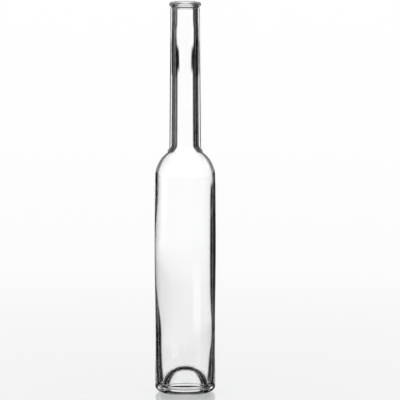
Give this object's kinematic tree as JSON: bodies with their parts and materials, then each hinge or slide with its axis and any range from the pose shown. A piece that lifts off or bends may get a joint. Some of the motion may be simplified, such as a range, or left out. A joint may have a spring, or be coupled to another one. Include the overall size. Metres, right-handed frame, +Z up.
{
  "type": "glass bottle",
  "caption": "Tall slim clear-glass bottle with a long straight neck, a beaded cork mouth, a round shoulder and a deep punt with a knurled standing ring.",
  "frame": {"origin": "centre of the knurled ring that the bottle stands on, level with the tips of the knurls", "axes": "+Z up along the bottle's axis, out of its mouth; the bottle is the same all round"},
  "size_m": [0.0554, 0.0554, 0.353],
  "materials": {
    "clear_glass": "fire polished, clear flint glass"
  },
  "bodies": {
    "root": {"bottle": "clear_glass"}
  },
  "joints": []
}
